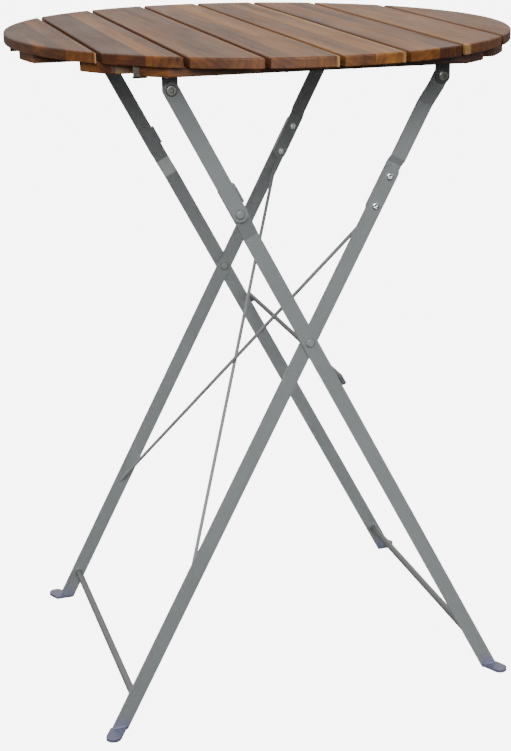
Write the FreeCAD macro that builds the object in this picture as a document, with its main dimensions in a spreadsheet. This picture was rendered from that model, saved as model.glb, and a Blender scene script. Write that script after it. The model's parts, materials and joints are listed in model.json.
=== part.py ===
import FreeCAD, Part
import math
import os
import re

import Sketcher

# Folding bar-height bistro table: a round top of wooden slats on six wooden battens, carried by a
# scissor frame of flat steel bars. Millimetres, +Z up, origin on the floor under the middle of the top.
# X is the way the legs spread, Y is depth: "front" is -Y and "rear" is +Y.
#
# The outer legs lean to the left on their way up and end at an elbow, where a short link carries on to
# the left hinge of the top. The inner legs lean to the right and run, through a bolted extension, to
# the right hinge of the top. Both pairs cross at the scissor pivot.

os.makedirs("parts", exist_ok=True)
doc = FreeCAD.newDocument("bistro_table")

SIZES = {
    "top_height": 1100,
    "top_radius": 410,
    "slat_pitch": 105,
    "slat_gap": 8,
    "slat_thick": 16,
    "slat_round": 2.5,
    "slat_under_round": 1.5,
    "batten_thick": 15,
    "outer_batten_near": 300,
    "outer_batten_far": 328,
    "main_batten_near": 219,
    "main_batten_far": 267,
    "centre_batten_near": 50,
    "centre_batten_far": 109,
    "batten_inset": 9,
    "batten_round": 2,
    "screw_radius": 2,
    "screw_head_radius": 4,
    "screw_head_high": 1.8,
    "screw_head_round": 1.4,
    "screw_bite": 9,
    "screw_spread": 46,
    "screw_edge": 12,
    "screw_slat_edge": 3,
    "pivot_height": 633,
    "lean": 27.6,
    "elbow_arm": 247,
    "hinge_arm": 462.6,
    "foot_rod_arm": 654,
    "bar_width": 25,
    "bar_thick": 5,
    "bar_round": 12.2,
    "layer_gap": 1,
    "inner_layer": 248,
    "bracket_layer": 262.5,
    "outer_leg_tip": 52,
    "outer_tip_round": 8,
    "outer_crank_low": 203,
    "outer_crank_high": 233,
    "lug_low": 13,
    "lug_long": 33,
    "lug_root": 1,
    "lug_thick": 2.6,
    "lug_proud": 1.5,
    "lug_round": 6,
    "stop_clearance": 0.3,
    "inner_leg_top": 308,
    "splice_low": 238,
    "splice_high": 289,
    "extension_low": 224,
    "extension_step_low": 311,
    "extension_step_high": 321,
    "extension_crank_low": 414,
    "extension_crank_high": 447,
    "outer_tab_long": 36,
    "inner_tab_long": 42,
    "foot_tab_round": 12,
    "foot_bend_round": 4.5,
    "foot_hollow_round": 2,
    "foot_rod_radius": 6,
    "stop_rod_radius": 4,
    "stop_rod_arm": 78,
    "stop_rod_leg": 15,
    "brace_radius": 3,
    "brace_high": 214,
    "brace_low": 456,
    "brace_apart": 3.2,
    "bracket_width": 23,
    "bracket_reach": 11.5,
    "bracket_round": 11,
    "flange_deep": 34,
    "flange_screw_near": 10,
    "flange_screw_far": 25,
    "catch_across": 265,
    "catch_wide": 20,
    "catch_long": 16,
    "catch_thick": 2,
    "catch_high": 18,
    "catch_lip": 8,
    "catch_round": 3,
    "catch_screw": 9,
    "pin_radius": 4,
    "pin_fit": 0.05,
    "rivet_head_radius": 7,
    "rivet_head_high": 3.4,
    "rivet_head_round": 2.8,
    "rivet_tail_radius": 6,
    "rivet_tail_high": 0.8,
    "elbow_split": 0.4,
    "hinge_head_radius": 8,
    "hinge_head_high": 3,
    "hinge_nut_high": 3,
    "hinge_dimple_radius": 3.5,
    "hinge_dimple_draft": 0.8,
    "hinge_dimple_deep": 1.6,
    "washer_radius": 10.5,
    "washer_thick": 0.6,
    "bolt_radius": 3,
    "bolt_head_radius": 6,
    "bolt_head_high": 3,
    "bolt_head_round": 2.1,
    "bolt_recess_wide": 1.4,
    "bolt_recess_long": 6.4,
    "bolt_recess_deep": 1.5,
    "bolt_end": 1,
    "nut_high": 4.5,
    "nut_radius": 5.8,
}

sizes = doc.addObject("Spreadsheet::Sheet", "sizes")
for row, (alias, number) in enumerate(SIZES.items(), 1):
    sizes.set(f"A{row}", alias)
    sizes.set(f"B{row}", str(number))
    sizes.setAlias(f"B{row}", alias)
doc.recompute()

# Derived lengths, as expressions on the sheet's cells.
OUTER_LAYER = "(inner_layer + bar_thick + layer_gap)"
EXTENSION_LAYER = "(inner_layer - bar_thick)"
EXTENSION_TOP_LAYER = "(bracket_layer - bar_thick - layer_gap)"
LINK_LAYER = "(bracket_layer + bar_thick + layer_gap)"
LINK_LONG = "(hinge_arm - elbow_arm)"
HALF_BAR = "(bar_width / 2)"
HALF_CUT = "(bar_width / 2 / cos(lean))"
HINGE_SPREAD = "(hinge_arm * sin(lean))"
HINGE_HEIGHT = "(pivot_height + hinge_arm * cos(lean))"
SLAT_UNDER = "(top_height - slat_thick)"
BATTEN_UNDER = "(top_height - slat_thick - batten_thick)"
BATTEN_RADIUS = "(top_radius - batten_inset)"
FOOT_ARM = "(pivot_height / cos(lean))"
PIN_HOLE = "(pin_radius + pin_fit)"
BOLT_HOLE = "(bolt_radius + pin_fit)"
# Length of a cut that passes right through anything here.
THROUGH = "(4 * top_radius)"

SIDES = {"front": -1, "rear": 1}
# Way that a bar leans on its way up: the outer legs to the left, the inner legs to the right.
OUTER, INNER = -1, 1


def bound(expression):
    """The expression with each cell's alias written the way the document resolves it."""
    return re.sub(r"[a-z]+(?:_[a-z]+)+|\blean\b", lambda match: "sizes." + match.group(0), expression)


def worth(expression):
    """Present value of an expression on the sheet."""
    return float(sizes.evalExpression(bound(expression)))


def drive(item, prop, expression):
    item.setExpression(prop, bound(expression))


def new_body(name):
    body = doc.addObject("PartDesign::Body", name)
    body.Label = name
    return body


def sketch_on(body, role, name, lift="0"):
    """Empty sketch on one of the body's own origin planes, lifted along its normal."""
    plane = next(item for item in body.Origin.OriginFeatures if item.Role == role)
    sketch = body.newObject("Sketcher::SketchObject", name)
    sketch.AttachmentSupport = (plane, [""])
    sketch.MapMode = "FlatFace"
    drive(sketch, "AttachmentOffset.Base.z", lift)
    return sketch


def outline(sketch, corners):
    """Closed outline of straight lines. Each corner is a pair of expressions that place it."""
    points = [FreeCAD.Vector(worth(across), worth(up), 0) for across, up in corners]
    count = len(points)
    for index in range(count):
        sketch.addGeometry(Part.LineSegment(points[index], points[(index + 1) % count]))
    for index, (across, up) in enumerate(corners):
        sketch.addConstraint(Sketcher.Constraint("Coincident", (index - 1) % count, 2, index, 1))
        for kind, expression in (("DistanceX", across), ("DistanceY", up)):
            constraint = Sketcher.Constraint(kind, -1, 1, index, 1, worth(expression))
            number = sketch.addConstraint(constraint)
            drive(sketch, f"Constraints[{number}]", expression)


def circles(sketch, centres, radius):
    """Circles of one radius. Each centre is a pair of expressions."""
    for index, (across, up) in enumerate(centres):
        centre = FreeCAD.Vector(worth(across), worth(up), 0)
        sketch.addGeometry(Part.Circle(centre, FreeCAD.Vector(0, 0, 1), worth(radius)))
        number = sketch.addConstraint(Sketcher.Constraint("Radius", index, worth(radius)))
        drive(sketch, f"Constraints[{number}]", radius)
        for kind, expression in (("DistanceX", across), ("DistanceY", up)):
            number = sketch.addConstraint(Sketcher.Constraint(kind, -1, 1, index, 3, worth(expression)))
            drive(sketch, f"Constraints[{number}]", expression)


def pad(body, sketch, length, symmetric=False):
    feature = body.newObject("PartDesign::Pad", sketch.Name + "_pad")
    feature.Profile = sketch
    feature.Midplane = symmetric
    drive(feature, "Length", length)
    doc.recompute()
    return feature


def pocket(body, sketch, length):
    """Cut the sketch away to both sides of its plane."""
    before = body.Shape.Volume
    feature = body.newObject("PartDesign::Pocket", sketch.Name + "_pocket")
    feature.Profile = sketch
    feature.Midplane = True
    drive(feature, "Length", length)
    doc.recompute()
    if body.Shape.Volume >= before - 1:
        raise RuntimeError(f"{body.Label}: {sketch.Name} cut nothing")
    return feature


def soften(body, radius, chosen):
    """Fillet the body's edges for which chosen(edge) is true, with edges in the body's own frame."""
    base = body.Tip
    names = [f"Edge{number}" for number, edge in enumerate(base.Shape.Edges, 1) if chosen(edge)]
    if not names:
        raise RuntimeError(f"{body.Label}: no edge to round")
    feature = body.newObject("PartDesign::Fillet", "round")
    feature.Base = (base, names)
    drive(feature, "Radius", radius)
    doc.recompute()
    return feature


def runs_along(edge, direction):
    """True for a straight edge parallel to the direction."""
    if edge.Curve.TypeId != "Part::GeomLine":
        return False
    return abs(abs(edge.Curve.Direction.dot(direction)) - 1) < 1e-6


def near(value, target, reach=0.05):
    return abs(value - target) < reach


ACROSS = FreeCAD.Vector(1, 0, 0)
DEEP = FreeCAD.Vector(0, 1, 0)
UP = FreeCAD.Vector(0, 0, 1)


def lay(item, x="0", y="0", z="0", lean_way=0):
    """Place a sub-part: its base point from expressions, turned about Y by the legs' lean."""
    item.Placement.Rotation = FreeCAD.Rotation(DEEP, lean_way * worth("lean"))
    for axis, expression in (("x", x), ("y", y), ("z", z)):
        drive(item, f"Placement.Base.{axis}", expression)


def round_tip(body, height, radius="bar_round"):
    """Round the end of a bar whose end face is at this height along the bar."""
    level = worth(height)
    soften(body, radius, lambda edge: runs_along(edge, DEEP) and near(edge.CenterOfMass.z, level))


def bar(name, side, stations):
    """Flat bar with its cranks: stations are pairs of a height and the bar's inner layer there."""
    body = new_body(name)
    profile = sketch_on(body, "YZ_Plane", name + "_profile")
    inner = [(f"{side} * {layer}", height) for height, layer in stations]
    outer = [(f"{side} * ({layer} + bar_thick)", height) for height, layer in stations]
    outline(profile, inner + outer[::-1])
    pad(body, profile, "bar_width", symmetric=True)
    return body


def bores(body, heights, radius):
    """Round holes through a bar, on its middle line."""
    sketch = sketch_on(body, "XZ_Plane", body.Label + "_bores")
    circles(sketch, [("0", height) for height in heights], radius)
    pocket(body, sketch, THROUGH)


def foot(body, side, way, layer, tab_long):
    """Cut the bar level with the floor and bend its end outward into a flat tab with a round end."""
    cut = sketch_on(body, "XZ_Plane", body.Label + "_floor")
    floor_right = f"-({FOOT_ARM} - {way} * bar_width * tan(lean))"
    floor_left = f"-({FOOT_ARM} + {way} * bar_width * tan(lean))"
    below = f"-({FOOT_ARM} + 4 * bar_width)"
    outline(cut, [
        ("-bar_width", floor_left),
        ("bar_width", floor_right),
        ("bar_width", below),
        ("-bar_width", below),
    ])
    pocket(body, cut, THROUGH)

    tab = sketch_on(body, "XY_Plane", body.Label + "_tab", lift=f"-{FOOT_ARM}")
    tab.AttachmentOffset.Rotation = FreeCAD.Rotation(DEEP, -way * worth("lean"))
    end_x = f"{-way} * {tab_long} * sin(lean)"
    end_y = f"{side} * ({layer} + {tab_long} * cos(lean))"
    half_x = f"{HALF_BAR} * cos(lean)"
    half_y = f"{way * side} * {HALF_BAR} * sin(lean)"
    start_y = f"{side} * {layer}"
    outline(tab, [
        (f"-{HALF_CUT}", start_y),
        (HALF_CUT, start_y),
        (f"{end_x} + {half_x}", f"{end_y} + {half_y}"),
        (f"{end_x} - {half_x}", f"{end_y} - {half_y}"),
    ])
    pad(body, tab, "bar_thick")

    turn = FreeCAD.Rotation(DEEP, way * worth("lean"))
    floor_level = -worth("pivot_height")
    upright = turn.inverted().multVec(UP)
    reach = worth(layer) + 0.5 * worth(tab_long)

    def at_tip(edge):
        return runs_along(edge, upright) and side * edge.CenterOfMass.y > reach

    def at_level(edge, depth, rise):
        middle = turn.multVec(edge.CenterOfMass)
        level_edge = runs_along(edge, turn.inverted().multVec(ACROSS))
        return level_edge and near(side * middle.y, depth) and near(middle.z, floor_level + rise)

    inner_face = worth(layer)
    thick = worth("bar_thick")
    soften(body, "foot_tab_round", at_tip)
    soften(body, "foot_bend_round", lambda edge: at_level(edge, inner_face, 0))
    soften(body, "foot_hollow_round", lambda edge: at_level(edge, inner_face + thick, thick))


def outer_leg(place, side):
    """Lower outer leg, from its foot to just above the elbow, with the stop lug beside the link."""
    below = f"-({FOOT_ARM} + bar_width)"
    tip = "(elbow_arm + outer_leg_tip)"
    body = bar("outer_leg_" + place, side, [
        (below, OUTER_LAYER),
        ("outer_crank_low", OUTER_LAYER),
        ("outer_crank_high", "bracket_layer"),
        (tip, "bracket_layer"),
    ])
    round_tip(body, tip, "outer_tip_round")
    bores(body, ["0", "elbow_arm"], PIN_HOLE)

    lug = sketch_on(body, "XY_Plane", body.Label + "_lug", lift="elbow_arm + lug_low")
    root = "bracket_layer"
    shoulder = "bracket_layer + bar_thick"
    end = f"{LINK_LAYER} + bar_thick + lug_proud"
    face = f"{HALF_BAR} + stop_clearance"
    back = f"{HALF_BAR} + stop_clearance + lug_thick"
    inside = f"{HALF_BAR} - lug_root"
    outline(lug, [
        (inside, f"{side} * ({root})"),
        (back, f"{side} * ({root})"),
        (back, f"{side} * ({end})"),
        (face, f"{side} * ({end})"),
        (face, f"{side} * ({shoulder})"),
        (inside, f"{side} * ({shoulder})"),
    ])
    pad(body, lug, "lug_long")
    lug_end = worth(end)
    soften(body, "lug_round",
           lambda edge: runs_along(edge, ACROSS) and near(side * edge.CenterOfMass.y, lug_end))
    foot(body, side, OUTER, OUTER_LAYER, "outer_tab_long")
    lay(body, z="pivot_height", lean_way=OUTER)


def inner_leg(place, side):
    """Lower inner leg, from its foot to the splice with the extension."""
    below = f"-({FOOT_ARM} + bar_width)"
    body = bar("inner_leg_" + place, side, [(below, "inner_layer"), ("inner_leg_top", "inner_layer")])
    round_tip(body, "inner_leg_top")
    bores(body, ["0"], PIN_HOLE)
    splice = sketch_on(body, "XZ_Plane", body.Label + "_splice")
    circles(splice, [("0", "splice_low"), ("0", "splice_high")], BOLT_HOLE)
    pocket(body, splice, THROUGH)
    foot(body, side, INNER, "inner_layer", "inner_tab_long")
    lay(body, z="pivot_height", lean_way=INNER)


def inner_extension(place, side):
    """Upper part of the inner leg: bolted inside the lower part, stepped over it, cranked to the bracket."""
    tip = f"(hinge_arm + {HALF_BAR})"
    body = bar("inner_extension_" + place, side, [
        ("extension_low", EXTENSION_LAYER),
        ("extension_step_low", EXTENSION_LAYER),
        ("extension_step_high", "inner_layer"),
        ("extension_crank_low", "inner_layer"),
        ("extension_crank_high", EXTENSION_TOP_LAYER),
        (tip, EXTENSION_TOP_LAYER),
    ])
    round_tip(body, tip)
    round_tip(body, "extension_low")
    bores(body, ["hinge_arm"], PIN_HOLE)
    splice = sketch_on(body, "XZ_Plane", body.Label + "_splice")
    circles(splice, [("0", "splice_low"), ("0", "splice_high")], BOLT_HOLE)
    pocket(body, splice, THROUGH)
    lay(body, z="pivot_height", lean_way=INNER)


def link(place, side):
    """Short upper link between the elbow of an outer leg and the left hinge of the top."""
    low = f"-{HALF_BAR}"
    high = f"({LINK_LONG} + {HALF_BAR})"
    body = bar("link_" + place, side, [(low, LINK_LAYER), (high, LINK_LAYER)])
    round_tip(body, low)
    round_tip(body, high)
    bores(body, ["0", LINK_LONG], PIN_HOLE)
    lay(body, x="-elbow_arm * sin(lean)", z="pivot_height + elbow_arm * cos(lean)", lean_way=OUTER)


def bracket(hand, way, place, side):
    """Angle bracket under a batten: a flange with two screws and a round-ended ear for the hinge pin."""
    body = new_body(f"bracket_{hand}_{place}")
    profile = sketch_on(body, "YZ_Plane", body.Label + "_profile")
    ear_out = f"{side} * (bracket_layer + bar_thick)"
    ear_in = f"{side} * bracket_layer"
    flange_in = f"{side} * (bracket_layer - flange_deep)"
    high = f"({BATTEN_UNDER} - {HINGE_HEIGHT})"
    outline(profile, [
        (ear_out, "-bracket_reach"),
        (ear_out, high),
        (flange_in, high),
        (flange_in, f"{high} - bar_thick"),
        (ear_in, f"{high} - bar_thick"),
        (ear_in, "-bracket_reach"),
    ])
    pad(body, profile, "bracket_width", symmetric=True)
    level = -worth("bracket_reach")
    soften(body, "bracket_round", lambda edge: runs_along(edge, DEEP) and near(edge.CenterOfMass.z, level))
    bend = worth(high)
    outer_face = worth("bracket_layer + bar_thick")
    soften(body, "bar_thick - 1", lambda edge: runs_along(edge, ACROSS) and near(edge.CenterOfMass.z, bend)
           and near(side * edge.CenterOfMass.y, outer_face))
    ear = sketch_on(body, "XZ_Plane", body.Label + "_ear")
    circles(ear, [("0", "0")], PIN_HOLE)
    pocket(body, ear, THROUGH)
    flange = sketch_on(body, "XY_Plane", body.Label + "_flange", lift=high)
    holes = ["flange_screw_near", "flange_screw_far"]
    centres = [("0", f"{side} * (bracket_layer - {hole})") for hole in holes]
    circles(flange, centres, "screw_radius + pin_fit")
    pocket(body, flange, "4 * bar_thick")
    lay(body, x=f"{way} * {HINGE_SPREAD}", z=HINGE_HEIGHT)


def fold_catch():
    """Small channel-shaped spring plate inside the front outer batten, which hangs from a slat."""
    body = new_body("fold_catch")
    profile = sketch_on(body, "YZ_Plane", "fold_catch_profile")
    outline(profile, [
        ("0", "0"),
        ("catch_long", "0"),
        ("catch_long", "-catch_thick"),
        ("catch_thick", "-catch_thick"),
        ("catch_thick", "catch_thick - catch_high"),
        ("catch_lip", "catch_thick - catch_high"),
        ("catch_lip", "-catch_high"),
        ("0", "-catch_high"),
    ])
    pad(body, profile, "catch_wide", symmetric=True)
    soften(body, "catch_round", lambda edge: runs_along(edge, ACROSS) and near(edge.CenterOfMass.y, 0)
           and edge.CenterOfMass.z < -worth("catch_thick"))
    hole = sketch_on(body, "XY_Plane", "fold_catch_hole")
    circles(hole, [("0", "catch_screw")], "screw_radius + pin_fit")
    pocket(body, hole, "4 * catch_thick")
    lay(body, x="-catch_across", y="-outer_batten_near", z=SLAT_UNDER)


def turned(name, side, stations, base_x, base_z):
    """Pin, rivet or washer turned about an axis along Y: stations are pairs of a depth and a radius."""
    body = new_body(name)
    profile = sketch_on(body, "YZ_Plane", name + "_profile")
    outline(profile, [(f"{side} * ({depth})", radius) for depth, radius in stations])
    turn = body.newObject("PartDesign::Revolution", name + "_turn")
    turn.Profile = profile
    turn.ReferenceAxis = (profile, ["H_Axis"])
    turn.Angle = 360
    doc.recompute()
    lay(body, x=base_x, z=base_z)
    return body


def dome(body, side, depth, radius, rounding="rivet_head_round"):
    """Round the rim of a head whose end face lies at this depth."""
    level = side * worth(depth)
    rim = worth(radius)

    def at_rim(edge):
        return (edge.Curve.TypeId == "Part::GeomCircle" and near(edge.Curve.Center.y, level)
                and near(edge.Curve.Radius, rim))

    soften(body, rounding, at_rim)


def pivot_rivet(place, side):
    """Rivet of the scissor pivot: headed outside the outer leg and inside the inner leg."""
    inner_face = "inner_layer"
    outer_face = f"{OUTER_LAYER} + bar_thick"
    inner_end = f"{inner_face} - rivet_head_high"
    outer_end = f"{outer_face} + rivet_head_high"
    body = turned("pivot_rivet_" + place, side, [
        (inner_end, "0"),
        (inner_end, "rivet_head_radius"),
        (f"{inner_face} - stop_clearance", "rivet_head_radius"),
        (f"{inner_face} - stop_clearance", "pin_radius"),
        (outer_face, "pin_radius"),
        (outer_face, "rivet_head_radius"),
        (outer_end, "rivet_head_radius"),
        (outer_end, "0"),
    ], "0", "pivot_height")
    dome(body, side, outer_end, "rivet_head_radius")
    dome(body, side, inner_end, "rivet_head_radius")


def pivot_washer(place, side):
    """Thin washer on the inner leg, between the two bars of the scissor pivot."""
    face = "inner_layer + bar_thick"
    turned("pivot_washer_" + place, side, [
        (face, PIN_HOLE),
        (face, "washer_radius"),
        (f"{face} + washer_thick", "washer_radius"),
        (f"{face} + washer_thick", PIN_HOLE),
    ], "0", "pivot_height")


def elbow_rivet(place, side):
    """Elbow rivet in two halves: the head turns with the link, the nearly flush tail stays in the leg."""
    elbow_x = "-elbow_arm * sin(lean)"
    elbow_z = "pivot_height + elbow_arm * cos(lean)"
    link_face = f"{LINK_LAYER} + bar_thick"
    head_end = f"{link_face} + rivet_head_high"
    head = turned("elbow_rivet_head_" + place, side, [
        (LINK_LAYER, "0"),
        (LINK_LAYER, "pin_radius"),
        (link_face, "pin_radius"),
        (link_face, "rivet_head_radius"),
        (head_end, "rivet_head_radius"),
        (head_end, "0"),
    ], elbow_x, elbow_z)
    dome(head, side, head_end, "rivet_head_radius")
    tail_end = "bracket_layer - rivet_tail_high"
    tail = turned("elbow_rivet_tail_" + place, side, [
        (tail_end, "0"),
        (tail_end, "rivet_tail_radius"),
        ("bracket_layer", "rivet_tail_radius"),
        ("bracket_layer", "pin_radius"),
        ("bracket_layer + bar_thick + elbow_split", "pin_radius"),
        ("bracket_layer + bar_thick + elbow_split", "0"),
    ], elbow_x, elbow_z)
    dome(tail, side, tail_end, "rivet_tail_radius", "rivet_tail_high / 2")


def hinge_pin(hand, way, place, side):
    """Hinge pin of the top: dimpled round head outside, flat riveted end inside."""
    if hand == "left":
        inside, outside = "bracket_layer", f"{LINK_LAYER} + bar_thick + stop_clearance"
    else:
        inside, outside = f"{EXTENSION_TOP_LAYER} - stop_clearance", "bracket_layer + bar_thick"
    tail_end = f"{inside} - hinge_nut_high"
    head_end = f"{outside} + hinge_head_high"
    body = turned(f"hinge_pin_{hand}_{place}", side, [
        (tail_end, "0"),
        (tail_end, "hinge_head_radius - 1"),
        (inside, "hinge_head_radius - 1"),
        (inside, "pin_radius"),
        (outside, "pin_radius"),
        (outside, "hinge_head_radius"),
        (head_end, "hinge_head_radius"),
        (head_end, "hinge_dimple_radius"),
        (f"{head_end} - hinge_dimple_deep", "hinge_dimple_radius - hinge_dimple_draft"),
        (f"{head_end} - hinge_dimple_deep", "0"),
    ], f"{way} * {HINGE_SPREAD}", HINGE_HEIGHT)
    dome(body, side, head_end, "hinge_head_radius", "rivet_head_round / 2")
    dome(body, side, tail_end, "hinge_head_radius - 1", "rivet_head_round / 2")


def cylinder(name, radius, length):
    """Plain round bar with its middle at its own origin, along Y once it is placed."""
    rod = doc.addObject("Part::Cylinder", name)
    drive(rod, "Radius", radius)
    drive(rod, "Height", length)
    return rod


def cross_rod(name, arm, way, layer, radius, offset="0"):
    """Round bar along Y between the inner faces of one pair of legs, at this distance below the pivot."""
    rod = cylinder(name, radius, f"2 * {layer}")
    rod.Label = name
    rod.Placement.Rotation = FreeCAD.Rotation(ACROSS, 90)
    drive(rod, "Placement.Base.x", f"{-way} * {arm} * sin(lean) + {offset} * cos(lean)")
    drive(rod, "Placement.Base.y", layer)
    drive(rod, "Placement.Base.z", f"pivot_height - {arm} * cos(lean) - {way} * {offset} * sin(lean)")
    return rod


def fold_stop_rod():
    """Round bar that the inner legs meet when folded; its ends turn down along the outer legs' edges."""
    reach = f"({OUTER_LAYER} + bar_thick / 2)"
    offset = f"({HALF_BAR} + stop_rod_radius)"
    pieces = [cross_rod("stop_rod_span", "stop_rod_arm", OUTER, reach, "stop_rod_radius", offset)]
    for place, side in SIDES.items():
        for kind, name in (("Part::Cylinder", "stop_rod_leg_"), ("Part::Sphere", "stop_rod_bend_")):
            piece = doc.addObject(kind, name + place)
            drive(piece, "Radius", "stop_rod_radius")
            if kind == "Part::Cylinder":
                drive(piece, "Height", "stop_rod_leg")
            piece.Placement.Rotation = FreeCAD.Rotation(DEEP, 180 + OUTER * worth("lean"))
            drive(piece, "Placement.Base.x", f"stop_rod_arm * sin(lean) + {offset} * cos(lean)")
            drive(piece, "Placement.Base.y", f"{side} * {reach}")
            drive(piece, "Placement.Base.z",
                  f"pivot_height - stop_rod_arm * cos(lean) + {offset} * sin(lean)")
            pieces.append(piece)
    rod = doc.addObject("Part::MultiFuse", "fold_stop_rod")
    rod.Label = "fold_stop_rod"
    rod.Shapes = pieces
    doc.recompute()


# Share of a brace's length by which its rod passes each leg before it is trimmed.
BRACE_SPARE = 0.03


def brace_rod(name, high_side, shift):
    """Thin diagonal rod from high on one inner leg to low on the other, trimmed by the legs' inner faces."""
    high = worth("brace_high")
    low = -worth("brace_low")
    depth = worth("inner_layer")
    start = FreeCAD.Vector(0, high_side * depth, high)
    run = FreeCAD.Vector(0, -2 * high_side * depth, low - high)
    spare = run * BRACE_SPARE
    long = f"{1 + 2 * BRACE_SPARE} * sqrt(4 * inner_layer ^ 2 + (brace_high + brace_low) ^ 2)"
    rod = cylinder(name + "_rod", "brace_radius", long)
    rod.Placement = FreeCAD.Placement(start - spare, FreeCAD.Rotation(UP, run))
    room = doc.addObject("Part::Box", name + "_room")
    drive(room, "Length", "2 * bar_width")
    drive(room, "Width", "2 * inner_layer")
    drive(room, "Height", THROUGH)
    room.Placement.Base = FreeCAD.Vector(-worth("bar_width"), -depth, -2 * worth("top_radius"))
    brace = doc.addObject("Part::Common", name)
    brace.Label = name
    brace.Base = rod
    brace.Tool = room
    lay(brace, x=f"{shift} * brace_apart * cos(lean)",
        z=f"pivot_height - {shift} * brace_apart * sin(lean)", lean_way=INNER)
    doc.recompute()


def splice_fasteners(place, side):
    """Two cross-recess bolts and their hexagon nuts, which join an extension to its leg."""
    face = worth("inner_layer + bar_thick")
    back = worth(EXTENSION_LAYER)
    head_radius = worth("bolt_head_radius")
    head_high = worth("bolt_head_high")
    recess_long = worth("bolt_recess_long")
    recess_wide = worth("bolt_recess_wide")
    recess_deep = worth("bolt_recess_deep")
    nut_radius = worth("nut_radius")
    nut_high = worth("nut_high")
    outward = DEEP * side
    bolts = []
    nuts = []
    for height in (worth("splice_low"), worth("splice_high")):
        axis = UP * height
        end = back - nut_high - worth("bolt_end")
        shank = Part.makeCylinder(worth("bolt_radius"), face - end, axis + outward * end, outward)
        head = Part.makeCylinder(head_radius, head_high, axis + outward * face, outward)
        rim = [edge for edge in head.Edges if near(side * edge.CenterOfMass.y, face + head_high)]
        head = head.makeFillet(worth("bolt_head_round"), rim)
        bolt = shank.fuse(head)
        slot = Part.makeBox(recess_long, 2 * recess_deep, recess_wide)
        slot.translate(FreeCAD.Vector(
            -recess_long / 2, side * (face + head_high) - recess_deep, -recess_wide / 2))
        for quarter in (45, 135):
            arm = slot.copy()
            arm.rotate(FreeCAD.Vector(0, 0, 0), DEEP, quarter)
            arm.translate(axis)
            bolt = bolt.cut(arm)
        bolts.append(bolt.Solids[0])
        hexagon = Part.makePolygon([
            axis + outward * back + FreeCAD.Rotation(DEEP, 60 * corner).multVec(UP) * nut_radius
            for corner in range(7)
        ])
        nut = Part.Face(hexagon).extrude(-outward * nut_high)
        beyond = axis + outward * (back + nut_high)
        hole = Part.makeCylinder(worth(BOLT_HOLE), 3 * nut_high, beyond, -outward)
        nuts.append(nut.cut(hole).Solids[0])
    for name, solids in (("splice_bolts_", bolts), ("splice_nuts_", nuts)):
        item = doc.addObject("Part::Feature", name + place)
        item.Label = name + place
        item.Shape = Part.makeCompound(solids)
        lay(item, z="pivot_height", lean_way=INNER)


def wood_screws(name, points, bite):
    """Group of round-headed wood screws driven upwards from these points, each a separate solid."""
    solids = []
    for base in points:
        head = Part.makeCylinder(worth("screw_head_radius"), worth("screw_head_high"), base, -UP)
        lowest = base.z - worth("screw_head_high")
        low_rim = [edge for edge in head.Edges if near(edge.CenterOfMass.z, lowest)]
        head = head.makeFillet(worth("screw_head_round"), low_rim)
        shank = Part.makeCylinder(worth("screw_radius"), bite, base, UP)
        solids.append(head.fuse(shank).Solids[0])
    item = doc.addObject("Part::Feature", name)
    item.Label = name
    item.Shape = Part.makeCompound(solids)
    return item


def slat_centres():
    """Middle line of each slat, from left to right."""
    pitch = worth("slat_pitch")
    return [(number - 3.5) * pitch for number in range(8)]


def slat_screw_points(batten_y, spread):
    """Screws of one batten in each slat, set this far apart and drawn in near the batten's round end."""
    limit = worth(f"{BATTEN_RADIUS} - screw_edge")
    room = math.sqrt(limit ** 2 - batten_y ** 2)
    half_width = worth("slat_pitch") / 2 - worth("slat_gap") / 2
    points = []
    for centre in slat_centres():
        for offset in (-1, 1) if spread else (0,):
            x = centre + offset * spread / 2
            x = math.copysign(min(abs(x), room), x)
            if abs(x - centre) < half_width - worth("screw_slat_edge"):
                points.append(FreeCAD.Vector(x, batten_y, worth(BATTEN_UNDER)))
    return points


def round_board(name, x_low, width, y_low, depth, z_low, thick, disc, rounds, screws):
    """Board trimmed by the round disc, with softened edges and its screw holes."""
    board = doc.addObject("Part::Box", name + "_board")
    drive(board, "Length", width)
    drive(board, "Width", depth)
    drive(board, "Height", thick)
    for axis, expression in (("x", x_low), ("y", y_low), ("z", z_low)):
        drive(board, f"Placement.Base.{axis}", expression)
    trimmed = doc.addObject("Part::Common", name + "_trimmed")
    trimmed.Base = board
    trimmed.Tool = disc
    doc.recompute()
    soft = doc.addObject("Part::Fillet", name + "_soft")
    soft.Base = trimmed
    chosen = []
    for number, edge in enumerate(trimmed.Shape.Edges, 1):
        for level, rounding in rounds:
            if near(edge.BoundBox.ZMin, worth(level)) and near(edge.BoundBox.ZMax, worth(level)):
                chosen.append((number, worth(rounding), worth(rounding)))
    soft.Edges = chosen
    drilled = doc.addObject("Part::Cut", name)
    drilled.Label = name
    drilled.Base = soft
    drilled.Tool = screws
    doc.recompute()
    return drilled


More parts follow.
